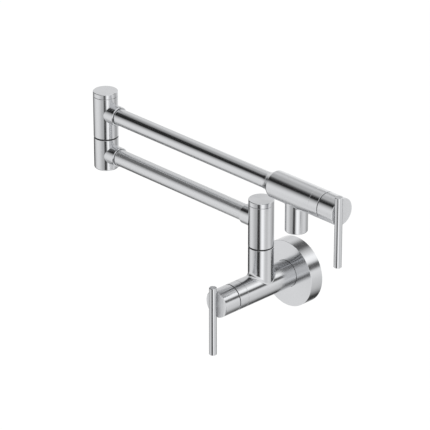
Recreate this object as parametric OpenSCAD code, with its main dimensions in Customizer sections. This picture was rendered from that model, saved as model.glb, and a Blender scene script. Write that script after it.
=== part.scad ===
// Wall mounted pot filler with two folding arms and a valve at each end.
// The origin is the centre of the flange's back face, on the wall. It reaches out along -Y and up +Z.
// At rest both arms lie folded along the wall: the lower one runs to -X, the upper one comes back to +X.

/* [Wall flange] */
// Diameter of the wall flange
flange_d = 77; // [70:1:84]
// Depth of the wall flange
flange_depth = 17; // [15:0.5:20]
// Wall thickness of the hollow flange
flange_wall = 3.5; // [2.5:0.5:4.5]
// Radial width of the foam gasket behind the rim
gasket_w = 3; // [2:0.5:4]
// Thickness of the foam gasket
gasket_t = 2; // [1.5:0.5:3]

/* [Post and arms] */
// Distance from the wall to the axis of the post
post_reach = 57; // [54:1:64]
// Diameter of the post and of the elbow
post_d = 28.4; // [27.5:0.1:30]
// Height of the post joint above the valve axis
post_joint_h = 48.3; // [46:0.1:56]
// Height of an arm above the joint that carries it
arm_rise = 30.2; // [29:0.1:33]
// Height of a rotating sleeve
sleeve_h = 48.9; // [48.5:0.1:56]
// Height of a post cap
cap_h = 5.4; // [3:0.1:7]
// Distance between the axes of the post and the elbow
arm_l = 250; // [200:1:300]
// Drop of the elbow joint's lower arm below that joint
elbow_drop = 20.1; // [19.5:0.1:24]
// Height of the elbow base below the lower arm's axis
elbow_foot = 18.5; // [16:0.1:22]
// Outer diameter of the arm tubes
tube_d = 19; // [18.6:0.1:19.4]
// Wall thickness of the arm tubes
tube_wall = 1.5; // [1:0.1:2]
// Outer diameter of the tube sockets
socket_d = 22.6; // [22:0.1:24]
// Reach of a tube socket from its post's axis
socket_reach = 23.2; // [21:0.1:32]
// Width of the black joints at the post and the elbow
swivel_gap = 1.6; // [1:0.1:2]

/* [Valves] */
// Diameter of both valve bodies and their knobs
valve_d = 31; // [31:0.5:34]
// Distance from the post's axis to the lower knob's joint
tee_reach = 45.7; // [44.4:0.1:47]
// Distance from the spout's axis to the upper knob's joint
spout_valve_reach = 44.1; // [44:0.1:46]
// Length of the bonnet sleeve in front of the valve body
bonnet_l = 12.5; // [12:0.5:14]
// Width of the black joint behind a knob
knob_gap = 1.1; // [0.8:0.1:1.4]
// Minor diameter of the inlet thread, half inch pipe
inlet_d = 18.6; // [18:0.1:19.4]
// Length of the inlet thread
inlet_l = 16; // [14:1:18]

/* [Spout] */
// Distance from the post's axis to the spout's axis with the arms folded
spout_x = 53.2; // [50:0.1:58]
// Diameter of the spout
spout_d = 25.1; // [24.4:0.1:27]
// Distance from the upper arm's axis to the end of the spout
spout_drop = 44.3; // [40:0.1:50]

/* [Handles] */
// Length of a knob
knob_l = 21.3; // [20:0.1:26]
// Diameter of the lever rods
lever_d = 8.5; // [7.5:0.1:9.5]
// Height of a lever's short end above the valve axis
lever_top = 22; // [19:0.5:26]
// Length of a lever's long end below the valve axis
lever_low = 59.1; // [50:0.1:75]
// Sideways offset of the upper lever towards the front
lever_offset = 9.9; // [8:0.1:10.4]

/* [Hidden] */
$fn = 96;

steel = "#c9cbcd";
brass = "#c8a45a";
rubber = "#1c1c1e";
ceramic = "#efeee8";
plastic = "#dfe3e6";
screw_steel = "#9a9da1";
plastic_black = "#26262a";

// Overrun of every cut past the face that it opens
cut = 1;
// Chamfer on the outer edges of the turned pieces
edge = 0.4;
// Chamfer where two pieces meet in a hairline seam
seam_edge = 0.15;
// Chamfer beside a black joint between turning pieces
joint_edge = 0.2;
// Chamfer on the flange's front edge
flange_edge = 0.2;
// Gap of a hairline seam
seam_gap = 0.1;
// Gap under a post cap
cap_gap = 0.25;
// Radial clearance of the flange round the valve body
collar_gap = 0.4;
// Radial clearance of a running fit
running = 0.05;
// Radial clearance between fixed pieces where one slides into the other
static_gap = 0.1;
// Radial clearance between turning pieces that do not bear on each other
free_gap = 0.4;
// Steps of a rounded edge
round_steps = 6;

// Driving places
post_y = -post_reach;
arm1_z = post_joint_h + arm_rise;
elbow_joint_z = arm1_z + elbow_drop;
arm2_z = elbow_joint_z + arm_rise;
knob2_x = spout_x + spout_valve_reach;
valve_r = valve_d / 2;
post_r = post_d / 2;
tube_r = tube_d / 2;
socket_r = socket_d / 2;
swivel_half = swivel_gap / 2;
knob_half = knob_gap / 2;

// Flange details
flange_r = flange_d / 2;
boss_wall = 3.6;
boss_depth = 9;
grub_r = 2;
grub_l = 4;
grub_hex_r = 1.2;
grub_hex_depth = 2;
grub_access_r = 2.6;

// Valve body details
tail_gap = 4;
water_r = 6.5;
chamber_r = 11;
chamber_depth = 55.5;
body_nose_l = 6.3;
body_nose_wall = 2.4;
post_bore_r = 7;
strainer_t = 2;
strainer_step = 0.7;
strainer_rim = 2;
strainer_mesh_t = 0.6;
strainer_hole_r = 0.8;
strainer_pitch = 2.6;

// Cartridge details: the windows and the thread are measured from the housing's back end
seal_t = 2.5;
housing_back = seal_t - chamber_depth;
seal_hole_r = 5.5;
housing_r = 9.4;
housing_bore_r = 8.2;
housing_bore_l = 17;
window_w = 10;
window_l = 7;
window_place = 5;
thread_place = 20.5;
o_ring_r = 0.7;
o_ring_room = 1.8;
hex_l = 3.5;
hex_r = 12.6;
neck_r = 7.5;
neck_front = 1;
bonnet_lip = 2.2;
disc_t = 2.2;
disc_gap = 0.1;
disc_hole_r = 2.2;
disc_hole_place = 4.2;
spindle_r = 4;
carrier_waist_r = 5.2;
carrier_rim = 2;
spindle_in_knob = 13;
knob_wall = 3;
pad_r = 3.7;
pad_h = 1.05;
pad_seat = 0.4;
seat_gap = 0.2;
stud_r = 2;
stud_in_knob = 5;
stud_in_lever = 5.2;
knob_grub_place = 8;

// Swivel details, measured up from the joint
spigot_r = 9;
spigot_bore_r = 5.5;
spigot_thread_l = 11;
spigot_window_r = 4.2;
top_room = 4;
slide_gap = 0.1;
ring_section_r = 0.8;
ring_low = 8;
ring_high_drop = 5.4;
groove_w = 2.4;
groove_r = 7;
washer_inset = 0.4;
bearing_l = 12;
sleeve_chamber_r = 11.4;
bush_l = 7.5;
bush_top_gap = 0.4;
retaining_r = 10.6;
retaining_t = 1.2;
screw_r = 2.5;
screw_l = 8;
screw_head_r = 4.3;
screw_head_h = 2;
screw_hex_r = 1.7;
screw_hex_depth = 1.2;
cap_plug_wall = 1.6;
cap_plug_l = 2;
foot_round = 1.8;
sleeve_top = swivel_half + sleeve_h;
spigot_top = sleeve_top - top_room;
bush_top = spigot_top - bush_top_gap;

// Socket and cone details
port_r = 7.4;
socket_floor = 14.8;
socket_edge = 0.6;
mouth_gap = 0.5;
mouth_l = 2;
elbow_chamber_r = 8.4;
elbow_chamber_drop = 8.6;
valve_back = 44;
valve_socket_l = 18.9;
upper_water_r = 7.5;
cone_lip = 0.3;
cone_blend = 14;
cone_angle = 32;
cone_round = 3;

// Spout details
spout_round = 1.5;
spout_bore_r = 9;
aerator_room = 10;
aerator_r = 10.7;
aerator_bore_r = 9.4;
aerator_inset = 0.3;
aerator_l = 7.7;
aerator_washer_w = 2.4;
aerator_lip = 1.2;
aerator_lip_t = 1.2;
insert_t = 2;
insert_hole_r = 0.8;
insert_pitch = 2.5;

// Points of a quarter circle that rounds an outer edge, from angle a0 to a1
function round_points(cx, cy, r, a0, a1) =
    [for (i = [0 : round_steps]) let (a = a0 + (a1 - a0) * i / round_steps)
        [cx + r * cos(a), cy + r * sin(a)]];

// Cylinder from z0 to z1 with chamfers c0 and c1 on its rims
module turned(r, z0, z1, c0 = 0, c1 = 0)
    rotate_extrude()
        polygon([[0, z0], [r - c0, z0], [r, z0 + c0], [r, z1 - c1], [r - c1, z1], [0, z1]]);

// Ring from z0 to z1
module ring(r_out, r_in, z0, z1)
    difference() {
        translate([0, 0, z0])
            cylinder(r = r_out, h = z1 - z0);
        translate([0, 0, z0 - cut])
            cylinder(r = r_in, h = z1 - z0 + 2 * cut);
    }

// Bore from z0 to z1
module bore(r, z0, z1)
    translate([0, 0, z0])
        cylinder(r = r, h = z1 - z0);

// O-ring with its centre line at radius r and height z
module o_ring(r, section, z)
    translate([0, 0, z])
        rotate_extrude()
            translate([r, 0])
                circle(r = section, $fn = 48);

// Grub screw with a hex socket, its tip at zero and its head towards +Z
module grub_screw(length)
    color(screw_steel)
        difference() {
            turned(grub_r, 0, length, edge, 0);
            translate([0, 0, length - grub_hex_depth])
                cylinder(r = grub_hex_r, h = grub_hex_depth + cut, $fn = 6);
        }

// Frames: the Z axis of a valve points out of its knob and Y points up, with the knob joint at zero
module on_tee_valve()
    translate([0, post_y - tee_reach, 0])
        rotate([90, 0, 0])
            children();
module on_spout_valve()
    translate([knob2_x, post_y, arm2_z])
        rotate([90, 0, 90])
            children();
module on_post_joint()
    translate([0, post_y, post_joint_h])
        children();
module on_elbow_joint()
    translate([-arm_l, post_y, elbow_joint_z])
        children();

// Wall flange: hollow disc with a boss round the valve body's tail
module wall_flange() {
    tail_r = valve_r + collar_gap;
    screw_y = -(flange_depth - flange_wall) + (boss_depth - flange_wall) / 2;
    color(steel)
        difference() {
            rotate([90, 0, 0])
                difference() {
                    turned(flange_r, 0, flange_depth, 0, flange_edge);
                    difference() {
                        bore(flange_r - flange_wall, -cut, flange_depth - flange_wall);
                        bore(tail_r + boss_wall, flange_depth - boss_depth, flange_depth);
                    }
                    bore(tail_r, -cut, flange_depth + cut);
                }
            translate([0, screw_y, 0])
                rotate([180, 0, 0]) {
                    bore(grub_r, 0, flange_r + cut);
                    bore(grub_access_r, tail_r + boss_wall, flange_r + cut);
                }
        }
}

module wall_gasket()
    color(rubber)
        rotate([90, 0, 0])
            ring(flange_r - flange_wall, flange_r - flange_wall - gasket_w, 0, gasket_t);

module flange_grub_screw()
    translate([0, -(flange_depth - flange_wall) + (boss_depth - flange_wall) / 2, -valve_r])
        rotate([180, 0, 0])
            grub_screw(grub_l);

// Chamber that a cartridge screws into, open to the front, with the bore that feeds it
module valve_chamber(feed_r, feed_l) {
    bore(chamber_r, -chamber_depth, cut);
    bore(feed_r, -chamber_depth - feed_l, -chamber_depth + cut);
}

// Front end of a valve body: it stops at the bonnet sleeve's seam and goes on as a narrower nose
module valve_front(z0) {
    seam = -knob_half - bonnet_l;
    turned(valve_r, z0, seam, 0, seam_edge);
    bore(valve_r - body_nose_wall, seam - cut, seam + body_nose_l);
}

// Valve body: inlet thread at the back, cartridge chamber at the front, port to the post on top
module valve_body() {
    tail = -(tee_reach + post_reach - tail_gap);
    color(steel)
        difference() {
            on_tee_valve()
                valve_front(tail);
            on_tee_valve() {
                valve_chamber(water_r, -chamber_depth - tail - inlet_l);
                bore(inlet_d / 2, tail - cut, tail + inlet_l);
                bore(inlet_d / 2 - strainer_step, tail, tail + inlet_l + strainer_t);
            }
            translate([0, post_y, 0])
                bore(post_bore_r, 0, valve_r + cut);
        }
}

// Fixed post, coped over the valve body and brazed to it
module post_stub()
    color(steel)
        translate([0, post_y, 0])
            difference() {
                turned(post_r, 0, post_joint_h - swivel_half, 0, joint_edge);
                bore(post_bore_r, 0, post_joint_h);
                bore(spigot_r, post_joint_h - swivel_half - spigot_thread_l, post_joint_h);
                rotate([90, 0, 0])
                    bore(valve_r, -post_r - cut, post_r + cut);
            }

// Strainer washer below the inlet thread
module inlet_strainer() {
    rim_r = inlet_d / 2 - strainer_step - static_gap;
    mesh_r = rim_r - strainer_rim;
    count = floor((mesh_r - strainer_hole_r) / strainer_pitch);
    translate([0, -tail_gap - inlet_l - strainer_t, 0])
        rotate([-90, 0, 0])
            color(screw_steel)
                union() {
                    ring(rim_r, mesh_r, 0, strainer_t);
                    difference() {
                        bore(mesh_r + strainer_rim / 2, 0, strainer_mesh_t);
                        for (i = [-count : count], j = [-count : count])
                            if (norm([i, j]) * strainer_pitch < mesh_r - strainer_hole_r)
                                translate([i * strainer_pitch, j * strainer_pitch, -cut])
                                    cylinder(r = strainer_hole_r, h = strainer_mesh_t + 2 * cut, $fn = 24);
                    }
                }
}

// Trim sleeve between the valve body and the knob, closed at the front but for the neck's hole
module bonnet() {
    seam = -knob_half - bonnet_l;
    color(steel)
        difference() {
            turned(valve_r, seam + seam_gap, -knob_half, seam_edge, joint_edge);
            bore(valve_r - body_nose_wall, seam - cut, -knob_half - bonnet_lip);
            bore(neck_r + free_gap, seam - cut, cut);
        }
}

// Cartridge housing: inlet end at the back, two side windows, thread and hex at the front
module housing() {
    thread_back = housing_back + thread_place;
    thread_front = -knob_half - bonnet_l + body_nose_l;
    color(brass)
        difference() {
            union() {
                bore(housing_r, housing_back, thread_back);
                bore(chamber_r - static_gap, thread_back, thread_front);
                translate([0, 0, thread_front])
                    cylinder(r = hex_r, h = hex_l, $fn = 6);
                bore(neck_r, thread_front, -neck_front);
            }
            bore(housing_bore_r, housing_back - cut, housing_back + housing_bore_l);
            bore(spindle_r + running, housing_back, cut);
            translate([-window_w / 2, -housing_r - cut, housing_back + window_place])
                cube([window_w, 2 * (housing_r + cut), window_l]);
        }
}

module seat_seal()
    color(rubber)
        ring(housing_r, seal_hole_r, -chamber_depth, housing_back);

module housing_o_ring()
    color(rubber)
        o_ring(housing_r + static_gap + o_ring_r, o_ring_r, housing_back + thread_place - o_ring_room / 2);

// Ceramic disc with two ports, its back face at z0
module disc(r, z0)
    color(ceramic)
        difference() {
            bore(r, z0, z0 + disc_t);
            for (side = [-1, 1])
                translate([side * disc_hole_place, 0, 0])
                    bore(disc_hole_r, z0 - cut, z0 + disc_t + cut);
        }

module disc_fixed()
    disc(housing_bore_r, housing_back);

module disc_turning()
    disc(housing_bore_r - free_gap, housing_back + disc_t + disc_gap);

// Spindle: its carrier holds the turning disc and its front end drives the knob
module spindle_shape() {
    back = housing_back + 2 * disc_t + disc_gap;
    front = housing_back + housing_bore_l - free_gap;
    r = housing_bore_r - free_gap;
    color(brass)
        union() {
            bore(r, back, back + carrier_rim);
            bore(carrier_waist_r, back, front);
            bore(r, front - carrier_rim, front);
            bore(spindle_r, back, knob_half + spindle_in_knob);
        }
}

// Knob with the blind hole for the spindle, the grub screw's hole and the pad that the lever sits on
module knob_shape(offset) {
    face = knob_half + knob_l;
    color(steel)
        difference() {
            union() {
                turned(valve_r, knob_half, face, joint_edge, edge);
                translate([offset, 0, 0])
                    bore(pad_r, face - cut, face + pad_h);
            }
            bore(spindle_r, -cut, knob_half + spindle_in_knob);
            translate([offset, 0, 0])
                bore(stud_r, face - stud_in_knob, face + pad_h + cut);
            translate([0, 0, knob_half + knob_grub_place])
                rotate([90, 0, 0])
                    bore(grub_r, 0, valve_r + cut);
        }
}

module knob_grub_shape()
    translate([0, -spindle_r, knob_half + knob_grub_place])
        rotate([90, 0, 0])
            grub_screw(valve_r - spindle_r - knob_wall);

module stud_shape(offset)
    color(screw_steel)
        translate([offset, 0, 0])
            bore(stud_r, knob_half + knob_l - stud_in_knob, knob_half + knob_l + pad_h + stud_in_lever);

// Lever: a round rod across the knob's face, with a spot face for the pad and a blind hole for its stud
module lever_shape(offset) {
    seat = knob_half + knob_l + pad_h;
    color(steel)
        translate([offset, 0, 0])
            difference() {
                translate([0, 0, seat - pad_seat + lever_d / 2])
                    rotate([-90, 0, 0])
                        turned(lever_d / 2, -lever_low, lever_top, edge, edge);
                bore(pad_r + seat_gap, seat - pad_seat - cut, seat);
                bore(stud_r, seat - cut, seat + stud_in_lever);
            }
}

// Spigot that stands in the lower piece and carries the sleeve above it
module spigot() {
    foot = -swivel_half - spigot_thread_l;
    color(brass)
        difference() {
            turned(spigot_r, foot, spigot_top, 0, edge);
            bore(spigot_bore_r, foot - cut, arm_rise + spigot_window_r);
            translate([0, 0, arm_rise])
                for (a = [0, 90])
                    rotate([90, 0, a])
                        bore(spigot_window_r, -spigot_r - cut, spigot_r + cut);
            for (z = [ring_low, spigot_top - ring_high_drop])
                ring(spigot_r + cut, groove_r, z - groove_w / 2, z + groove_w / 2);
            bore(screw_r, spigot_top - screw_l, spigot_top + cut);
        }
}

module spigot_o_rings()
    for (z = [ring_low, spigot_top - ring_high_drop])
        color(rubber)
            o_ring(groove_r + slide_gap + ring_section_r, ring_section_r, z);

module thrust_washer()
    color(plastic_black)
        ring(post_r - washer_inset, spigot_r, -swivel_half, swivel_half - slide_gap);

module retaining_washer()
    color(screw_steel)
        ring(retaining_r, screw_r, spigot_top, spigot_top + retaining_t);

// Button head screw down into the spigot
module retaining_screw() {
    seat = spigot_top + retaining_t;
    color(screw_steel)
        difference() {
            union() {
                bore(screw_r, spigot_top - screw_l, seat);
                turned(screw_head_r, seat, seat + screw_head_h, 0, screw_head_h / 2);
            }
            translate([0, 0, seat + screw_head_h - screw_hex_depth])
                cylinder(r = screw_hex_r, h = screw_hex_depth + cut, $fn = 6);
        }
}

// Tube socket along +X, and the bores that open it
module socket()
    rotate([0, 90, 0])
        turned(socket_r, 0, socket_reach, 0, socket_edge);
module socket_bores()
    rotate([0, 90, 0]) {
        bore(port_r, 0, socket_floor + cut);
        bore(tube_r, socket_floor, socket_reach + cut);
        bore(tube_r + mouth_gap, socket_reach - mouth_l, socket_reach + cut);
    }

// Rotating sleeve with its tube socket turned by an angle about the post
module sleeve(angle)
    color(steel)
        difference() {
            union() {
                turned(post_r, swivel_half, sleeve_top, joint_edge, seam_edge);
                translate([0, 0, arm_rise])
                    rotate([0, 0, angle])
                        socket();
            }
            bore(spigot_r + running, 0, bearing_l + cut);
            bore(sleeve_chamber_r, bearing_l, sleeve_top + cut);
            translate([0, 0, arm_rise])
                rotate([0, 0, angle])
                    socket_bores();
        }

// Upper bearing bush in the sleeve
module bush()
    color(brass)
        ring(sleeve_chamber_r, spigot_r + running, bush_top - bush_l, bush_top);

// Cap on the sleeve with a plug that fits its bore
module cap() {
    under = sleeve_top + cap_gap;
    color(steel)
        difference() {
            union() {
                turned(post_r, under, under + cap_h, seam_edge, edge);
                bore(sleeve_chamber_r, under - cap_plug_l, under + seam_edge);
            }
            bore(sleeve_chamber_r - cap_plug_wall, under - cap_plug_l - cut, under);
        }
}

module arm_tube(x0, x1, z)
    color(steel)
        translate([0, post_y, z])
            rotate([0, 90, 0])
                ring(tube_r, tube_r - tube_wall, x0, x1);

module lower_tube()
    arm_tube(-arm_l + socket_floor, -socket_floor, arm1_z);
module upper_tube()
    arm_tube(-arm_l + socket_floor, spout_x - valve_back + valve_socket_l, arm2_z);

// Lower half of the elbow: it carries the spigot and takes the lower tube
module elbow_base() {
    foot = -elbow_drop - elbow_foot;
    round_c = post_r - foot_round;
    color(steel)
        difference() {
            union() {
                rotate_extrude()
                    polygon(concat([[0, foot]],
                        round_points(round_c, foot + foot_round, foot_round, -90, 0),
                        [[post_r, -swivel_half - joint_edge], [post_r - joint_edge, -swivel_half],
                            [0, -swivel_half]]));
                translate([0, 0, -elbow_drop])
                    socket();
            }
            bore(spigot_r, -swivel_half - spigot_thread_l, cut);
            bore(elbow_chamber_r, -elbow_drop - elbow_chamber_drop, -swivel_half);
            translate([0, 0, -elbow_drop])
                socket_bores();
        }
}

// Upper valve body: cone at the back, cartridge chamber at the front, spout below
module spout_valve_body() {
    back = -spout_valve_reach - valve_back;
    lip_r = tube_r + cone_lip;
    cone_rise = valve_r - lip_r - (cone_blend + cone_round) * (1 - cos(cone_angle));
    cone_l = cone_rise / tan(cone_angle);
    round_z = back + cone_l + (cone_blend + cone_round) * sin(cone_angle);
    tip_r = spout_d / 2 - spout_round;
    color(steel)
        difference() {
            union() {
                on_spout_valve() {
                    rotate_extrude()
                        polygon(concat([[0, back]],
                            round_points(lip_r + cone_blend, back, cone_blend, 180, 180 - cone_angle),
                            round_points(valve_r - cone_round, round_z, cone_round, -cone_angle, 0),
                            [[valve_r, round_z + cut], [0, round_z + cut]]));
                    valve_front(round_z);
                }
                translate([spout_x, post_y, arm2_z])
                    rotate_extrude()
                        polygon(concat([[0, 0], [0, -spout_drop]],
                            round_points(tip_r, -spout_drop + spout_round, spout_round, -90, 0),
                            [[spout_d / 2, 0]]));
            }
            on_spout_valve() {
                valve_chamber(upper_water_r, -chamber_depth - back - valve_socket_l + cut);
                bore(tube_r, back - cut, back + valve_socket_l);
            }
            translate([spout_x, post_y, arm2_z]) {
                bore(spout_bore_r, -spout_drop, 0);
                bore(aerator_r, -spout_drop - cut, -spout_drop + aerator_room);
            }
        }
}

// Aerator, in a frame with the end of the spout at zero
module on_spout_end()
    translate([spout_x, post_y, arm2_z - spout_drop])
        children();
module aerator_housing()
    color(plastic)
        difference() {
            bore(aerator_r, aerator_inset, aerator_inset + aerator_l);
            bore(aerator_bore_r, aerator_inset + aerator_lip_t, aerator_inset + aerator_l + cut);
            bore(aerator_bore_r - aerator_lip, 0, aerator_inset + aerator_lip_t + cut);
        }
module aerator_insert() {
    floor_z = aerator_inset + aerator_lip_t;
    hole_place_r = aerator_bore_r - aerator_lip - insert_hole_r - slide_gap;
    count = ceil(hole_place_r / insert_pitch);
    color(plastic)
        difference() {
            bore(aerator_bore_r, floor_z, floor_z + insert_t);
            for (i = [-count : count], j = [-count : count])
                if (norm([i, j]) * insert_pitch < hole_place_r)
                    translate([i * insert_pitch, j * insert_pitch, floor_z - cut])
                        cylinder(r = insert_hole_r, h = insert_t + 2 * cut, $fn = 24);
        }
}
module aerator_washer()
    color(rubber)
        ring(aerator_r, aerator_r - aerator_washer_w, aerator_inset + aerator_l, aerator_room);

wall_flange();
wall_gasket();
flange_grub_screw();
valve_body();
post_stub();
inlet_strainer();
on_tee_valve() bonnet();  // bonnet_sleeve
on_tee_valve() housing();  // cartridge_housing
on_tee_valve() seat_seal();  // cartridge_seat_seal
on_tee_valve() housing_o_ring();  // cartridge_o_ring
on_tee_valve() disc_fixed();  // fixed_disc
on_post_joint() spigot();  // post_spigot
on_post_joint() spigot_o_rings();  // post_spigot_o_rings
on_post_joint() thrust_washer();  // post_thrust_washer
on_post_joint() retaining_washer();  // post_retaining_washer
on_post_joint() retaining_screw();  // post_retaining_screw
on_post_joint() sleeve(180);  // post_sleeve
on_post_joint() bush();  // post_bush
on_post_joint() cap();  // post_cap
lower_tube();
on_elbow_joint() elbow_base();
on_elbow_joint() spigot();  // elbow_spigot
on_elbow_joint() spigot_o_rings();  // elbow_spigot_o_rings
on_elbow_joint() thrust_washer();  // elbow_thrust_washer
on_elbow_joint() retaining_washer();  // elbow_retaining_washer
on_elbow_joint() retaining_screw();  // elbow_retaining_screw
on_elbow_joint() sleeve(0);  // elbow_sleeve
on_elbow_joint() bush();  // elbow_bush
on_elbow_joint() cap();  // elbow_cap
upper_tube();
spout_valve_body();
on_spout_valve() bonnet();  // spout_bonnet_sleeve
on_spout_valve() housing();  // spout_cartridge_housing
on_spout_valve() seat_seal();  // spout_cartridge_seat_seal
on_spout_valve() housing_o_ring();  // spout_cartridge_o_ring
on_spout_valve() disc_fixed();  // spout_fixed_disc
on_spout_end() aerator_housing();
on_spout_end() aerator_insert();
on_spout_end() aerator_washer();
on_tee_valve() spindle_shape();  // spindle
on_tee_valve() disc_turning();  // turning_disc
on_tee_valve() knob_shape(0);  // knob
on_tee_valve() knob_grub_shape();  // knob_grub_screw
on_tee_valve() stud_shape(0);  // lever_stud
on_tee_valve() lever_shape(0);  // lever
on_spout_valve() spindle_shape();  // spout_spindle
on_spout_valve() disc_turning();  // spout_turning_disc
on_spout_valve() knob_shape(-lever_offset);  // spout_knob
on_spout_valve() knob_grub_shape();  // spout_knob_grub_screw
on_spout_valve() stud_shape(-lever_offset);  // spout_lever_stud
on_spout_valve() lever_shape(-lever_offset);  // spout_lever
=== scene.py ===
import math

import bmesh
import bpy
from mathutils import Matrix, Vector


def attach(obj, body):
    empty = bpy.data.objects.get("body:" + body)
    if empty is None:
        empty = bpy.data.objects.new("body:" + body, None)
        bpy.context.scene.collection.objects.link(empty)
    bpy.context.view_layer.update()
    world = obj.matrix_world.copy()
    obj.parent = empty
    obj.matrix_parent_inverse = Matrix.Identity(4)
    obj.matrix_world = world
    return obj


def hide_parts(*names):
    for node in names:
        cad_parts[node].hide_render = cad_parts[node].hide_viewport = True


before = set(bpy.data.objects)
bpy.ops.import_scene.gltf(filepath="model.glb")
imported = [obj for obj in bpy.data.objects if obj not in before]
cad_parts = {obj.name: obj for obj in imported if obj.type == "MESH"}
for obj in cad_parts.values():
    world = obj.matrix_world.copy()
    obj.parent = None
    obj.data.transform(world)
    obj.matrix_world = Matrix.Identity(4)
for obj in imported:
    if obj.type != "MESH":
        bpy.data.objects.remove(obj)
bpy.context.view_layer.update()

MM = 0.001

# Places and sizes in millimetres, as the solids have them
POST_Y = -57.0
POST_R = 14.2
ELBOW_X = -250.0
VALVE_R = 15.5
LOWER_ARM_Z = 78.5
UPPER_ARM_Z = 128.8
SPOUT_X = 53.2
SPOUT_R = 12.55
SPOUT_END_Z = 84.5
LEVER_Y = -129.45
SPOUT_LEVER = (124.05, -66.9)


def linear(code):
    """Linear colour of an sRGB hex value."""
    parts = [int(code[i:i + 2], 16) / 255 for i in (1, 3, 5)]
    return [p / 12.92 if p <= 0.04045 else ((p + 0.055) / 1.055) ** 2.4 for p in parts] + [1.0]


def add(tree, kind, links=None, **settings):
    """Adds a node. In links, a socket is linked to the input of that name or number, and a value is set."""
    made = tree.nodes.new(kind)
    for key, value in settings.items():
        setattr(made, key, value)
    for key, value in (links or {}).items():
        if isinstance(value, bpy.types.NodeSocket):
            tree.links.new(value, made.inputs[key])
        else:
            made.inputs[key].default_value = value
    return made


# Materials

def material(name, **sockets):
    """A material with one surface shader, whose constant values are set on the shader's own sockets."""
    made = bpy.data.materials.new(name)
    made.use_nodes = True
    tree = made.node_tree
    tree.nodes.clear()
    shader = add(tree, "ShaderNodeBsdfPrincipled", sockets)
    add(tree, "ShaderNodeOutputMaterial", {"Surface": shader.outputs["BSDF"]})
    return made, tree, shader


ALONG = {"x": (1, 0, 0), "y": (0, 1, 0), "z": (0, 0, 1)}


def turning_axis(tree, main, branch=None):
    """The axis that a point was turned round, and its place from that axis's centre. A branch is
    (radius, axis, centre): the points farther than that radius from the main axis were turned round it."""
    place = add(tree, "ShaderNodeTexCoord").outputs["Object"]
    axis, centre = (Vector(ALONG[main[0]]), Vector(main[1]) * MM)
    if branch:
        aside = add(tree, "ShaderNodeVectorMath", {0: place, 1: centre}, operation="SUBTRACT")
        flat = add(tree, "ShaderNodeVectorMath", {
            0: aside.outputs[0], 1: Vector((1, 1, 1)) - axis}, operation="MULTIPLY")
        reach = add(tree, "ShaderNodeVectorMath", {0: flat.outputs[0]}, operation="LENGTH")
        outside = add(tree, "ShaderNodeMath", {
            0: reach.outputs["Value"], 1: branch[0] * MM}, operation="GREATER_THAN").outputs[0]
        axis, centre = (add(tree, "ShaderNodeMix", {"Factor": outside, 4: first, 5: second},
                            data_type="VECTOR").outputs[1]
                        for first, second in ((axis, ALONG[branch[1]]), (centre, Vector(branch[2]) * MM)))
    return axis, add(tree, "ShaderNodeVectorMath", {0: place, 1: centre}, operation="SUBTRACT").outputs[0]


def rings_round(tree, axis, spot, spacing, stretch):
    """Noise drawn out round an axis, as a lathe or a belt leaves it on a turned piece and its end faces."""
    height = add(tree, "ShaderNodeVectorMath", {0: spot, 1: axis}, operation="DOT_PRODUCT").outputs["Value"]
    rise = add(tree, "ShaderNodeVectorMath", {0: axis, "Scale": height}, operation="SCALE")
    flat = add(tree, "ShaderNodeVectorMath", {0: spot, 1: rise.outputs[0]}, operation="SUBTRACT").outputs[0]
    radius = add(tree, "ShaderNodeVectorMath", {0: flat}, operation="LENGTH")
    around = add(tree, "ShaderNodeVectorMath", {0: flat}, operation="NORMALIZE")
    spread = add(tree, "ShaderNodeVectorMath", {0: around.outputs[0], "Scale": stretch}, operation="SCALE")
    along = add(tree, "ShaderNodeMath", {0: radius.outputs["Value"], 1: height}, operation="ADD")
    steps = add(tree, "ShaderNodeMath", {0: along.outputs[0], 1: 1 / (spacing * MM)}, operation="MULTIPLY")
    stack = add(tree, "ShaderNodeVectorMath", {0: axis, "Scale": steps.outputs[0]}, operation="SCALE")
    where = add(tree, "ShaderNodeVectorMath", {0: spread.outputs[0], 1: stack.outputs[0]})
    return add(tree, "ShaderNodeTexNoise", {
        "Vector": where.outputs[0], "Scale": 1.0, "Detail": 3.0, "Roughness": 0.6}).outputs["Fac"]


def across_rings(tree, axis, spot):
    """Direction on the surface that crosses the rings: along the axis on a side, outwards on an end face."""
    way_round = add(tree, "ShaderNodeVectorMath", {0: axis, 1: spot}, operation="CROSS_PRODUCT")
    across = add(tree, "ShaderNodeVectorMath", {
        0: way_round.outputs[0], 1: add(tree, "ShaderNodeTexCoord").outputs["Normal"]},
        operation="CROSS_PRODUCT")
    return add(tree, "ShaderNodeVectorTransform", {"Vector": across.outputs[0]},
               vector_type="VECTOR", convert_from="OBJECT", convert_to="WORLD").outputs[0]


def end_face(tree, axis):
    """One where the surface looks along the axis, as on a knob's face or a cap's top; zero on the sides."""
    facing = add(tree, "ShaderNodeVectorMath", {
        0: axis, 1: add(tree, "ShaderNodeTexCoord").outputs["Normal"]}, operation="DOT_PRODUCT")
    size = add(tree, "ShaderNodeMath", {0: facing.outputs["Value"]}, operation="ABSOLUTE")
    return add(tree, "ShaderNodeMath", {0: size.outputs[0], 1: 0.95}, operation="GREATER_THAN").outputs[0]


def mottle(tree, size, detail=2.0):
    """Soft cloudy noise with features of that size in millimetres."""
    place = add(tree, "ShaderNodeTexCoord").outputs["Object"]
    return add(tree, "ShaderNodeTexNoise", {
        "Vector": place, "Scale": 1 / (size * MM), "Detail": detail}).outputs["Fac"]


def spread_over(tree, value, low, high):
    """A noise value, of which 0.3 to 0.7 is nearly all, carried over to low and high."""
    return add(tree, "ShaderNodeMapRange", {
        "Value": value, "From Min": 0.3, "From Max": 0.7, "To Min": low, "To Max": high}).outputs["Result"]


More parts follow.
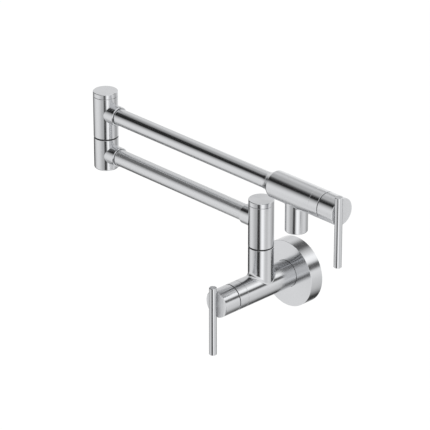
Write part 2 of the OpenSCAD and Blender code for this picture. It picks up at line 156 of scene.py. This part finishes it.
def two_tone(tree, value, first, second):
    """Colour between two close tones of one stuff."""
    return add(tree, "ShaderNodeMix", {
        "Factor": spread_over(tree, value, 0.0, 1.0), 6: linear(first), 7: linear(second)},
        data_type="RGBA").outputs[2]


def turned_metal(name, main, branch, tones, roughness, scatter, grain, spacing, depth):
    """Bare metal finished on a lathe or a belt: fine rings round its axis, two close tones and a slightly
    uneven polish. The rings scatter light across themselves far more than along themselves. Scatter is the
    share of the light that a duller finish throws evenly, on the sides and on the end faces."""
    made, tree, shader = material(name, Metallic=1.0, Anisotropic=grain)
    axis, spot = turning_axis(tree, main, branch)
    lines = rings_round(tree, axis, spot, spacing, 3.0)
    handled = mottle(tree, 7.0)
    both = add(tree, "ShaderNodeMix", {"Factor": 0.35, 2: lines, 3: handled}).outputs[0]
    bump = add(tree, "ShaderNodeBump", {"Height": lines, "Strength": 1.0, "Distance": depth * MM})
    tree.links.new(two_tone(tree, lines, *tones), shader.inputs["Base Color"])
    if any(scatter):
        mirror = add(tree, "ShaderNodeMapRange", {
            "Value": end_face(tree, axis), "To Min": 1 - scatter[0], "To Max": 1 - scatter[1]})
        tree.links.new(mirror.outputs["Result"], shader.inputs["Metallic"])
    tree.links.new(spread_over(tree, both, *roughness), shader.inputs["Roughness"])
    tree.links.new(bump.outputs["Normal"], shader.inputs["Normal"])
    tree.links.new(across_rings(tree, axis, spot), shader.inputs["Tangent"])
    return made


def satin_stainless(place, main, branch=None, polish=(0.11, 0.14), scatter=(0.0, 0.0)):
    """Stainless steel, turned and belt polished to satin: bright, cool grey, fine rings round each axis.
    The real rings of a 320 grit belt are under 0.1 mm apart; they are drawn at 0.25 mm so that they show."""
    return turned_metal("satin_stainless_" + place, main, branch, ("#CBCCCE", "#D1D2D4"), polish, scatter,
                        1.0, 0.25, 0.0004)


def machined(name, main, tones):
    """Metal as it comes off the lathe, with cutting marks about 0.2 mm apart and no polish."""
    return turned_metal(name, main, None, tones, (0.26, 0.36), (0.0, 0.0), 0.7, 0.2, 0.003)


def moulded(name, tones, roughness, grain, depth, **sockets):
    """Moulded or pressed stuff: a fine even grain in its gloss and relief, a slight drift of its tone."""
    made, tree, shader = material(name, **sockets)
    fine = mottle(tree, grain, 3.0)
    bump = add(tree, "ShaderNodeBump", {"Height": fine, "Strength": 1.0, "Distance": depth * MM})
    tree.links.new(two_tone(tree, mottle(tree, 5.0), *tones), shader.inputs["Base Color"])
    tree.links.new(spread_over(tree, fine, *roughness), shader.inputs["Roughness"])
    tree.links.new(bump.outputs["Normal"], shader.inputs["Normal"])
    return made


def foam_rubber():
    """Closed cell EPDM foam, cut from sheet: matt black, with burst cells about 0.5 mm across."""
    made, tree, shader = material("foam_rubber")
    place = add(tree, "ShaderNodeTexCoord").outputs["Object"]
    cells = add(tree, "ShaderNodeTexVoronoi", {"Vector": place, "Scale": 1 / (0.5 * MM)}).outputs["Distance"]
    bump = add(tree, "ShaderNodeBump", {"Height": cells, "Strength": 1.0, "Distance": 0.08 * MM})
    tree.links.new(two_tone(tree, cells, "#17171A", "#2A2A2D"), shader.inputs["Base Color"])
    tree.links.new(spread_over(tree, cells, 0.75, 0.95), shader.inputs["Roughness"])
    tree.links.new(bump.outputs["Normal"], shader.inputs["Normal"])
    return made


VALVE = ("y", (0, 0, 0))
SPOUT_VALVE = ("x", (0, POST_Y, UPPER_ARM_Z))
POST = ("z", (0, POST_Y, 0))
ELBOW = ("z", (ELBOW_X, POST_Y, 0))
SPOUT = ("z", (SPOUT_X, POST_Y, 0))
LOWER_ARM = ("x", (0, POST_Y, LOWER_ARM_Z))
BRASS = ("#C9A75F", "#D8B974")
SCREW = ("#A9ACAF", "#B9BBBE")

steel_valve = satin_stainless("valve", VALVE)
steel_spout_valve = satin_stainless("spout_valve", SPOUT_VALVE, (VALVE_R + 0.5, *SPOUT))
steel_post = satin_stainless("post", POST, (POST_R + 0.2, *LOWER_ARM))
steel_elbow_base = satin_stainless("elbow_base", ELBOW, (POST_R + 0.2, *LOWER_ARM))
steel_elbow_sleeve = satin_stainless("elbow_sleeve", ELBOW, (POST_R + 0.2, *SPOUT_VALVE))
# The lower tube is brushed a little duller, and the knobs' faces are blasted
steel_lower_tube = satin_stainless("lower_tube", LOWER_ARM, polish=(0.14, 0.17), scatter=(0.2, 0.0))
steel_knob = satin_stainless("knob", VALVE, scatter=(0.0, 0.85))
steel_spout_knob = satin_stainless("spout_knob", SPOUT_VALVE, scatter=(0.0, 0.85))
steel_lever = satin_stainless("lever", ("z", (0, LEVER_Y, 0)))
steel_spout_lever = satin_stainless("spout_lever", ("z", (*SPOUT_LEVER, 0)))
brass_valve = machined("machined_brass_valve", VALVE, BRASS)
brass_spout_valve = machined("machined_brass_spout_valve", SPOUT_VALVE, BRASS)
brass_post = machined("machined_brass_post", POST, BRASS)
brass_elbow = machined("machined_brass_elbow", ELBOW, BRASS)
screw_valve = machined("plain_stainless_valve", VALVE, SCREW)
screw_spout_valve = machined("plain_stainless_spout_valve", SPOUT_VALVE, SCREW)
screw_post = machined("plain_stainless_post", POST, SCREW)
screw_elbow = machined("plain_stainless_elbow", ELBOW, SCREW)
# Moulded nitrile: soft black with a faint bloom
nitrile = moulded("moulded_nitrile_rubber", ("#19191B", "#222225"), (0.5, 0.62), 0.15, 0.004)
# Sintered and lapped alumina: dense ivory white with a low gloss
alumina = moulded("lapped_alumina", ("#ECEBE4", "#F3F2EC"), (0.16, 0.24), 0.08, 0.001, IOR=1.77)
# Moulded acetal: slightly milky pale grey with a waxy gloss
acetal = moulded("moulded_acetal", ("#D9DDE0", "#E3E6E9"), (0.3, 0.4), 0.3, 0.004, IOR=1.48)
# Glass filled nylon: black, low gloss, with its fibres just under the skin
nylon = moulded("glass_filled_nylon", ("#131315", "#1B1B1E"), (0.55, 0.7), 0.12, 0.005, IOR=1.53)
foam = foam_rubber()

FINISH = {
    steel_valve: ["wall_flange", "bonnet_sleeve"],
    steel_knob: ["knob"],
    steel_spout_knob: ["spout_knob"],
    steel_post: ["post_stub", "post_sleeve", "post_cap"],
    steel_elbow_base: ["elbow_base"],
    steel_elbow_sleeve: ["elbow_sleeve", "elbow_cap"],
    steel_lower_tube: ["lower_tube"],
    steel_spout_valve: ["upper_tube", "spout_valve_body", "spout_bonnet_sleeve"],
    steel_lever: ["lever"],
    steel_spout_lever: ["spout_lever"],
    brass_valve: ["cartridge_housing", "spindle"],
    brass_spout_valve: ["spout_cartridge_housing", "spout_spindle"],
    brass_post: ["post_spigot", "post_bush"],
    brass_elbow: ["elbow_spigot", "elbow_bush"],
    screw_valve: ["inlet_strainer", "lever_stud"],
    screw_spout_valve: ["spout_lever_stud"],
    screw_post: ["post_retaining_washer", "post_retaining_screw", "flange_grub_screw", "knob_grub_screw",
                 "spout_knob_grub_screw"],
    screw_elbow: ["elbow_retaining_washer", "elbow_retaining_screw"],
    nitrile: ["cartridge_seat_seal", "cartridge_o_ring", "spout_cartridge_seat_seal",
              "spout_cartridge_o_ring", "post_spigot_o_rings", "elbow_spigot_o_rings", "aerator_washer"],
    alumina: ["fixed_disc", "turning_disc", "spout_fixed_disc", "spout_turning_disc"],
    acetal: ["aerator_housing"],
    nylon: ["post_thrust_washer", "elbow_thrust_washer"],
    foam: ["wall_gasket"],
}
for finish, names in FINISH.items():
    for name in names:
        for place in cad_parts[name].material_slots:
            place.material = finish


# Pieces made of vertices

def piece(name, mesh, body, finish, slot, *stands_for):
    """Puts a finished mesh in the scene, on its body and in its finish."""
    made = bpy.data.objects.new(name, mesh)
    bpy.context.scene.collection.objects.link(made)
    mesh.materials.clear()
    mesh.materials.append(finish)
    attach(made, body)
    if stands_for:
        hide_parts(*stands_for)


def turn(name, profile, place, rounds=256):
    """Mesh turned round the Z axis from a closed profile of (radius, height) in millimetres."""
    mesh = bpy.data.meshes.new(name)
    shape = bmesh.new()
    rows = [[shape.verts.new(place @ Vector((
        r * MM * math.cos(math.tau * i / rounds), r * MM * math.sin(math.tau * i / rounds), h * MM)))
        for i in range(rounds)] for r, h in profile]
    for row, after in zip(rows, rows[1:] + rows[:1]):
        for i in range(rounds):
            j = (i + 1) % rounds
            shape.faces.new((row[i], row[j], after[j], after[i]))
    bmesh.ops.recalc_face_normals(shape, faces=shape.faces)
    shape.to_mesh(mesh)
    shape.free()
    mesh.shade_smooth()
    mesh.set_sharp_from_angle(angle=math.radians(20))
    return mesh


def rolled_fillet(name, run_r, branch_r, ball_r, place, rounds=256, steps=16, inset=0.6):
    """Ring with the surface that a ball leaves as it rolls round the corner between two crossing cylinders.
    The branch stands along +Z on a run along Y; the ring's back lies inset into both."""
    mesh = bpy.data.meshes.new(name)
    points, faces, shades = [], [], []
    for i in range(rounds):
        a = math.tau * i / rounds
        ball = Vector(((branch_r + ball_r) * math.cos(a), (branch_r + ball_r) * math.sin(a), 0))
        ball.z = math.sqrt((run_r + ball_r) ** 2 - ball.x ** 2)
        to_branch = Vector((-math.cos(a), -math.sin(a), 0))
        to_run = -Vector((ball.x, 0, ball.z)).normalized()
        for k in range(steps + 1):
            way = to_branch.slerp(to_run, k / steps)
            points.append(ball + way * ball_r)
            shades.append(-way)
        back_r = branch_r - inset
        back = Vector((back_r * math.cos(a), back_r * math.sin(a), 0))
        back.z = math.sqrt((run_r - inset) ** 2 - back.x ** 2)
        points.append(back)
        shades.append(Vector())
    count = steps + 2
    for i in range(rounds):
        j = (i + 1) % rounds
        for k in range(count):
            m = (k + 1) % count
            faces.append((i * count + k, i * count + m, j * count + m, j * count + k))
    turned = place.to_3x3()
    mesh.from_pydata([place @ (p * MM) for p in points], [], faces)
    mesh.shade_smooth()
    normals = []
    for face in mesh.polygons:
        on_arc = all(v % count != count - 1 for v in face.vertices)
        normals += [turned @ shades[v] if on_arc else face.normal.copy() for v in face.vertices]
    mesh.normals_split_custom_set(normals)
    return mesh


# Valve body as a turned piece: its inlet bore has the depth of the thread, whose ridges come after it
INLET_Y = -4.0
INLET_END_Y = -20.0
STRAINER_END_Y = -22.0
CHAMBER_Y = -47.2
SEAM_Y = -89.65
NOSE_Y = -95.95
SEAM_EDGE = 0.15
NOSE_R = 13.1
CHAMBER_R = 11.0
WATER_R = 6.5
STRAINER_R = 8.6
THREAD_RELIEF = 0.8
MOUTH_EDGE = 0.5
INLET_R = 9.3
THREAD_ROOT_R = 10.46
THREAD_PITCH = 1.814
THREAD_L = 14.6
THREAD_START_Y = -4.6
RIDGE_SHARE = 0.48
valve_profile = [
    (VALVE_R, -INLET_Y), (VALVE_R, -SEAM_Y - SEAM_EDGE), (VALVE_R - SEAM_EDGE, -SEAM_Y),
    (NOSE_R, -SEAM_Y), (NOSE_R, -NOSE_Y), (CHAMBER_R, -NOSE_Y), (CHAMBER_R, -CHAMBER_Y),
    (WATER_R, -CHAMBER_Y), (WATER_R, -STRAINER_END_Y), (STRAINER_R, -STRAINER_END_Y),
    (STRAINER_R, -INLET_END_Y), (INLET_R, -INLET_END_Y), (INLET_R, -INLET_END_Y - THREAD_RELIEF),
    (THREAD_ROOT_R, -INLET_END_Y - THREAD_RELIEF), (THREAD_ROOT_R, -INLET_Y + MOUTH_EDGE),
    (THREAD_ROOT_R + MOUTH_EDGE, -INLET_Y)]
OUT_OF_WALL = Matrix.Rotation(math.pi / 2, 4, "X")
piece("valve_body_turned", turn("valve_body_turned", valve_profile, OUT_OF_WALL), "wall_side",
      steel_valve, "steel", "valve_body")

# Soft corners where the post stands on the valve body and where the spout leaves the upper valve
POST_FILLET_R = 5.0
SPOUT_FILLET_R = 2.0
piece("post_fillet", rolled_fillet(
    "post_fillet", VALVE_R, POST_R, POST_FILLET_R, Matrix.Translation((0, POST_Y * MM, 0))), "wall_side",
    steel_post, "steel")
DOWN_FROM_VALVE = Matrix.Translation((SPOUT_X * MM, POST_Y * MM, UPPER_ARM_Z * MM)) @ Matrix((
    (0, 1, 0, 0), (1, 0, 0, 0), (0, 0, -1, 0), (0, 0, 0, 1)))
piece("spout_fillet", rolled_fillet(
    "spout_fillet", VALVE_R, SPOUT_R, SPOUT_FILLET_R, DOWN_FROM_VALVE), "upper_arm",
    steel_spout_valve, "steel")


# Pieces grown by geometry nodes

def node_tree(name, inputs):
    """An empty tree with named inputs for sizes, counts and the finish."""
    tree = bpy.data.node_groups.new(name, "GeometryNodeTree")
    kinds = {float: "NodeSocketFloat", int: "NodeSocketInt", bpy.types.Material: "NodeSocketMaterial"}
    for key, value in inputs.items():
        tree.interface.new_socket(key, in_out="INPUT", socket_type=kinds[type(value)])
    tree.interface.new_socket("Mesh", in_out="OUTPUT", socket_type="NodeSocketGeometry")
    return tree, add(tree, "NodeGroupInput").outputs


def grow(tree, inputs, shape):
    """Ends a tree, runs it once with its inputs set by their identifiers, and returns the plain mesh."""
    solid = add(tree, "GeometryNodeRealizeInstances", {"Geometry": shape})
    coated = add(tree, "GeometryNodeSetMaterial", {
        "Geometry": solid.outputs[0], "Material": tree.nodes["Group Input"].outputs["Finish"]})
    add(tree, "NodeGroupOutput", {0: coated.outputs[0]})
    holder = bpy.data.objects.new(tree.name, bpy.data.meshes.new(tree.name))
    bpy.context.scene.collection.objects.link(holder)
    modifier = holder.modifiers.new(tree.name, "NODES")
    modifier.node_group = tree
    for item in tree.interface.items_tree:
        if item.in_out == "INPUT":
            modifier[item.identifier] = inputs[item.name]
    grown = holder.evaluated_get(bpy.context.evaluated_depsgraph_get())
    mesh = bpy.data.meshes.new_from_object(grown)
    holder.modifiers.remove(modifier)
    bpy.data.objects.remove(holder)
    return mesh


def thread_ridges():
    """Ridges of the half inch pipe thread: a diamond section swept up a spiral, half sunk into the bore."""
    inputs = {"Bore": THREAD_ROOT_R * MM, "Length": THREAD_L * MM, "Turns": THREAD_L / THREAD_PITCH,
              "Depth": (THREAD_ROOT_R - INLET_R) * MM, "Width": RIDGE_SHARE * THREAD_PITCH * MM,
              "Finish": steel_valve}
    tree, given = node_tree("inlet_thread_ridges", inputs)
    spiral = add(tree, "GeometryNodeCurveSpiral", {
        "Resolution": 96, "Rotations": given["Turns"], "Start Radius": given["Bore"],
        "End Radius": given["Bore"], "Height": given["Length"]})
    upright = add(tree, "GeometryNodeSetCurveNormal", {"Curve": spiral.outputs[0]}, mode="Z_UP")
    diamond = add(tree, "GeometryNodeCurvePrimitiveCircle", {"Resolution": 4, "Radius": 1.0})
    section = add(tree, "ShaderNodeCombineXYZ", {"X": given["Depth"], "Y": given["Width"], "Z": 1.0})
    sized = add(tree, "GeometryNodeTransform", {"Geometry": diamond.outputs[0], "Scale": section.outputs[0]})
    ridge = add(tree, "GeometryNodeCurveToMesh", {
        "Curve": upright.outputs[0], "Profile Curve": sized.outputs[0], "Fill Caps": True})
    placed = add(tree, "GeometryNodeTransform", {
        "Geometry": ridge.outputs[0], "Translation": (0, THREAD_START_Y * MM, 0),
        "Rotation": (math.pi / 2, 0, 0)})
    return grow(tree, inputs, placed.outputs[0])


CELL_PITCH = 1.5
FACE_ABOVE_END = 2.5


def honeycomb():
    """Honeycomb face of the aerator: hexagonal cells on a staggered grid inside a rim."""
    inputs = {"Radius": 9.3 * MM, "Pitch": CELL_PITCH * MM, "Wall": 0.28 * MM, "Depth": 1.8 * MM,
              "Finish": acetal}
    tree, given = node_tree("aerator_honeycomb", inputs)
    rows = 17
    row_step = math.sqrt(0.75)
    grid = add(tree, "GeometryNodeMeshGrid", {
        "Size X": float(rows - 1), "Size Y": (rows - 1) * row_step, "Vertices X": rows, "Vertices Y": rows})
    spot = add(tree, "GeometryNodeInputPosition").outputs[0]
    split = add(tree, "ShaderNodeSeparateXYZ", {0: spot})
    row = add(tree, "ShaderNodeMath", {0: split.outputs["Y"], 1: row_step}, operation="DIVIDE")
    whole = add(tree, "ShaderNodeMath", {0: row.outputs[0]}, operation="ROUND")
    odd = add(tree, "ShaderNodeMath", {0: whole.outputs[0], 1: 1.0}, operation="PINGPONG")
    half = add(tree, "ShaderNodeMath", {0: odd.outputs[0], 1: 0.5}, operation="MULTIPLY")
    shift = add(tree, "ShaderNodeCombineXYZ", {"X": half.outputs[0]})
    staggered = add(tree, "GeometryNodeSetPosition", {
        "Geometry": grid.outputs[0], "Offset": shift.outputs[0]})
    pitched = add(tree, "ShaderNodeCombineXYZ", {"X": given["Pitch"], "Y": given["Pitch"], "Z": 1.0})
    sized = add(tree, "GeometryNodeTransform", {
        "Geometry": staggered.outputs[0], "Scale": pitched.outputs[0]})
    reach = add(tree, "ShaderNodeVectorMath", {0: spot}, operation="LENGTH")
    room = add(tree, "ShaderNodeMath", {0: given["Radius"], 1: given["Pitch"]}, operation="SUBTRACT")
    outside = add(tree, "ShaderNodeMath", {
        0: reach.outputs["Value"], 1: room.outputs[0]}, operation="GREATER_THAN")
    kept = add(tree, "GeometryNodeDeleteGeometry", {
        "Geometry": sized.outputs[0], "Selection": outside.outputs[0]}, domain="POINT")
    cell_r = add(tree, "ShaderNodeMath", {0: given["Pitch"], 1: math.sqrt(3)}, operation="DIVIDE")
    cell = add(tree, "GeometryNodeCurvePrimitiveCircle", {"Resolution": 6, "Radius": cell_r.outputs[0]})
    stood = add(tree, "GeometryNodeTransform", {
        "Geometry": cell.outputs[0], "Rotation": (0, 0, math.pi / 6)})
    section = add(tree, "GeometryNodeCurvePrimitiveQuadrilateral", {
        "Width": given["Wall"], "Height": given["Depth"]})
    wall = add(tree, "GeometryNodeCurveToMesh", {
        "Curve": stood.outputs[0], "Profile Curve": section.outputs[0]})
    cells = add(tree, "GeometryNodeInstanceOnPoints", {
        "Points": kept.outputs[0], "Instance": wall.outputs[0]})
    rim_line = add(tree, "GeometryNodeCurvePrimitiveCircle", {"Resolution": 96, "Radius": room.outputs[0]})
    rim_wall = add(tree, "GeometryNodeCurvePrimitiveQuadrilateral", {
        "Width": 2 * CELL_PITCH * MM, "Height": given["Depth"]})
    rim = add(tree, "GeometryNodeCurveToMesh", {
        "Curve": rim_line.outputs[0], "Profile Curve": rim_wall.outputs[0]})
    joined = add(tree, "GeometryNodeJoinGeometry", {0: cells.outputs[0]})
    tree.links.new(rim.outputs[0], joined.inputs[0])
    placed = add(tree, "GeometryNodeTransform", {
        "Geometry": joined.outputs[0],
        "Translation": (SPOUT_X * MM, POST_Y * MM, (SPOUT_END_Z + FACE_ABOVE_END) * MM)})
    return grow(tree, inputs, placed.outputs[0])


piece("inlet_thread_ridges", thread_ridges(), "wall_side", steel_valve, "steel")
piece("aerator_honeycomb", honeycomb(), "upper_arm", acetal, "plastic", "aerator_insert")


# Light, floor and camera

# The steel mirrors a round light tent: white cloth with dark and bright cards in it. A card is given by
# the band that it draws: the kind of piece, the angle round that piece where the photograph shows the band
# (from the front upwards on an arm, from the front to the right on a post, from the top to the right on a
# valve), its half width in the same degrees, the card's half length, what it takes from the cloth or adds to
# it, and how firm its edge is. Where the card hangs follows from the mirror law.
TENT_CENTRE = Vector((0, POST_Y, 80)) * MM
TENT_R = 0.8
CLOTH = 1.13
DARKEST = 0.03
CAMERA_PLACE = Vector((1.94429, -2.00135, 1.39867))
FRONT = Vector((0, -1, 0))
UP = Vector((0, 0, 1))
RIGHT = Vector((1, 0, 0))
# A place on each kind of piece, and the directions from which and towards which its angles are counted
MIRRORS = {
    "arm": (Vector((-110, POST_Y, 129)) * MM, FRONT, UP),
    "post": (Vector((0, POST_Y, 70)) * MM, FRONT, RIGHT),
    "valve": (Vector((0, -90, 0)) * MM, UP, RIGHT),
    "rear": (Vector((0, -30, 0)) * MM, UP, RIGHT),
}
BANDS = {
    "dark band along the arms": ("arm", 45, 8, 24, -0.85, 1.5),
    "shade below that band": ("arm", 30, 8, 22, -0.4, 1.0),
    "shade above that band": ("arm", 62, 12, 24, -0.65, 1.0),
    "lower edge of the arms": ("arm", -26, 8, 14, -0.5, 1.0),
    "dark line left on the posts": ("post", -27, 7, 17, -1.1, 1.0),
    "left edge of the posts": ("post", -40, 8, 12, -0.35, 1.0),
    "shade right on the posts": ("post", 22, 11, 16, -0.55, 1.0),
    "dark band right on the posts": ("post", 35, 5, 13, -0.9, 1.5),
    "bright line right on the posts": ("post", 51, 5, 10, 0.45, 1.5),
    "soft shade right on the posts": ("post", 69, 7, 12, -0.35, 1.0),
    "right edge of the posts": ("post", 108, 12, 12, -0.7, 1.0),
    "upper dark band on the valves": ("valve", 19, 7, 8, -1.0, 1.0),
    "shade below that dark band": ("valve", 27, 8, 8, -0.6, 1.0),
    "bright line on the valves": ("valve", 47, 4, 9, 0.4, 1.0),
    "lower dark band on the valves": ("valve", 61, 4, 8, -1.3, 1.5),
    "lower edge of the valves": ("valve", 121, 13, 9, -1.1, 1.0),
    "upper edge of the valves": ("valve", -34, 9, 9, 0.4, 1.0),
    "shade on top of the valves": ("valve", -8, 8, 6, -0.25, 1.0),
    "dark band on the valve's rear": ("rear", 22, 12, 9, -1.0, 1.0),
    "shade on the valve's rear": ("rear", 42, 8, 9, -0.6, 1.0),
    "lower shade on the valve's rear": ("rear", 105, 9, 9, -0.8, 1.0),
}
CARD_DEPTH = 0.6
FLOOR_Z = -0.45
FLOOR_REACH = 4.0
LAMPS = {"key_lamp": ((-1.6, -2.2, 2.0), 22.0), "fill_lamp": ((2.2, -1.4, 1.0), 12.0)}
LAMP_SIZE = 1.2
CAMERA_LENS = 236.05
CAMERA_FILM = 36.0
CAMERA_TILT = 64.45
CAMERA_BEARING = 46.04


def card_place(kind, angle):
    """Direction from the tent's centre to the spot that this kind of piece mirrors at that angle.

    The rear of the valve body mirrors the flange's front, which mirrors the tent.
    """
    place, first, second = MIRRORS[kind]
    tilt = math.radians(angle)
    normal = first * math.cos(tilt) + second * math.sin(tilt)
    ray = (place - CAMERA_PLACE).normalized().reflect(normal)
    if kind == "rear":
        ray.y = -ray.y
    start = place - TENT_CENTRE
    along = start.dot(ray)
    far = math.sqrt(along ** 2 - start.length_squared + TENT_R ** 2) - along
    return (start + ray * far).normalized()


def light_tent():
    """A sphere that only the reflections see."""
    shape = bmesh.new()
    bmesh.ops.create_uvsphere(shape, u_segments=96, v_segments=48, radius=TENT_R)
    mesh = bpy.data.meshes.new("light_tent")
    shape.to_mesh(mesh)
    shape.free()
    mesh.shade_smooth()
    tent = bpy.data.objects.new("light_tent", mesh)
    tent.location = TENT_CENTRE
    bpy.context.scene.collection.objects.link(tent)
    cloth = bpy.data.materials.new("tent_cloth")
    cloth.use_nodes = True
    cloth.cycles.emission_sampling = "NONE"
    tree = cloth.node_tree
    tree.nodes.clear()
    place = add(tree, "ShaderNodeTexCoord").outputs["Object"]
    level = CLOTH
    for kind, angle, wide, reach, change, firm in BANDS.values():
        first, last = card_place(kind, angle - wide), card_place(kind, angle + wide)
        out = (first + last).normalized()
        across = (last - first).normalized()
        along = out.cross(across)
        seen = add(tree, "ShaderNodeMapping", {
            "Vector": place, "Location": out * TENT_R,
            "Rotation": Matrix((across, along, across.cross(along))).transposed().to_euler(),
            "Scale": [TENT_R * math.sqrt(2) * size for size in (
                (last - first).length / 2, math.sin(math.radians(reach)), CARD_DEPTH)]},
            vector_type="TEXTURE").outputs[0]
        squared = add(tree, "ShaderNodeVectorMath", {0: seen, 1: seen}, operation="DOT_PRODUCT")
        edge = add(tree, "ShaderNodeMath", {0: squared.outputs["Value"], 1: firm}, operation="POWER")
        soft = add(tree, "ShaderNodeMath", {0: 1 / math.e, 1: edge.outputs[0]}, operation="POWER")
        level = add(tree, "ShaderNodeMath", {
            0: soft.outputs[0], 1: change, 2: level}, operation="MULTIPLY_ADD").outputs[0]
    kept = add(tree, "ShaderNodeMath", {0: level, 1: DARKEST}, operation="MAXIMUM")
    glow = add(tree, "ShaderNodeEmission", {"Color": linear("#FFFFFF"), "Strength": kept.outputs[0]})
    add(tree, "ShaderNodeOutputMaterial", {"Surface": glow.outputs[0]})
    mesh.materials.append(cloth)
    for sees in ("camera", "diffuse", "transmission", "volume_scatter", "shadow"):
        setattr(tent, "visible_" + sees, False)


def white_floor():
    """Plain white floor far below: white where the camera looks at it, and it keeps some of the shadow."""
    mesh = bpy.data.meshes.new("floor")
    corners = [(-1, -1), (1, -1), (1, 1), (-1, 1)]
    mesh.from_pydata([(FLOOR_REACH * x, FLOOR_REACH * y, 0) for x, y in corners], [], [(0, 1, 2, 3)])
    floor = bpy.data.objects.new("floor", mesh)
    floor.location = (0, 0, FLOOR_Z)
    bpy.context.scene.collection.objects.link(floor)
    paint = bpy.data.materials.new("white_floor")
    paint.use_nodes = True
    tree = paint.node_tree
    tree.nodes.clear()
    seen = add(tree, "ShaderNodeLightPath").outputs["Is Camera Ray"]
    lit = add(tree, "ShaderNodeBsdfDiffuse", {"Color": linear("#FFFFFF")})
    glow = add(tree, "ShaderNodeEmission", {"Color": linear("#FFFFFF"), "Strength": 1.04})
    share = add(tree, "ShaderNodeMath", {0: seen, 1: 0.9}, operation="MULTIPLY")
    both = add(tree, "ShaderNodeMixShader", {0: share.outputs[0], 1: lit.outputs[0], 2: glow.outputs[0]})
    add(tree, "ShaderNodeOutputMaterial", {"Surface": both.outputs[0]})
    mesh.materials.append(paint)
    floor.visible_glossy = False


def studio_light():
    """White surroundings, and two wide soft lamps above left and above right of the camera."""
    world = bpy.data.worlds.new("studio")
    bpy.context.scene.world = world
    world.use_nodes = True
    world.cycles.sampling_method = "NONE"
    tree = world.node_tree
    tree.nodes.clear()
    path = add(tree, "ShaderNodeLightPath")
    seen = add(tree, "ShaderNodeMath", {
        0: path.outputs["Is Camera Ray"], 1: path.outputs["Is Glossy Ray"]}, operation="MAXIMUM")
    seen = add(tree, "ShaderNodeMath", {
        0: seen.outputs[0], 1: path.outputs["Is Transmission Ray"]}, operation="MAXIMUM")
    level = add(tree, "ShaderNodeMapRange", {"Value": seen.outputs[0], "To Min": 0.75, "To Max": 1.0})
    shade = add(tree, "ShaderNodeBackground", {"Strength": level.outputs[0]})
    shade.inputs["Color"].default_value = linear("#FFFFFF")
    add(tree, "ShaderNodeOutputWorld", {"Surface": shade.outputs[0]})
    for name, (place, power) in LAMPS.items():
        light = bpy.data.lights.new(name, "AREA")
        light.shape = "DISK"
        light.size = LAMP_SIZE
        light.energy = power
        lamp = bpy.data.objects.new(name, light)
        lamp.location = place
        lamp.rotation_euler = (TENT_CENTRE - Vector(place)).to_track_quat("-Z", "Y").to_euler()
        lamp.visible_glossy = False
        bpy.context.scene.collection.objects.link(lamp)


def photo_camera():
    """The photograph's viewpoint: high on the right, from about three metres away."""
    lens = bpy.data.cameras.new("camera")
    lens.lens = CAMERA_LENS
    lens.sensor_width = CAMERA_FILM
    camera = bpy.data.objects.new("camera", lens)
    camera.location = CAMERA_PLACE
    camera.rotation_euler = (math.radians(CAMERA_TILT), 0, math.radians(CAMERA_BEARING))
    bpy.context.scene.collection.objects.link(camera)
    bpy.context.scene.camera = camera


light_tent()
white_floor()
studio_light()
photo_camera()
bpy.context.scene.view_settings.view_transform = "Standard"

bpy.context.view_layer.update()
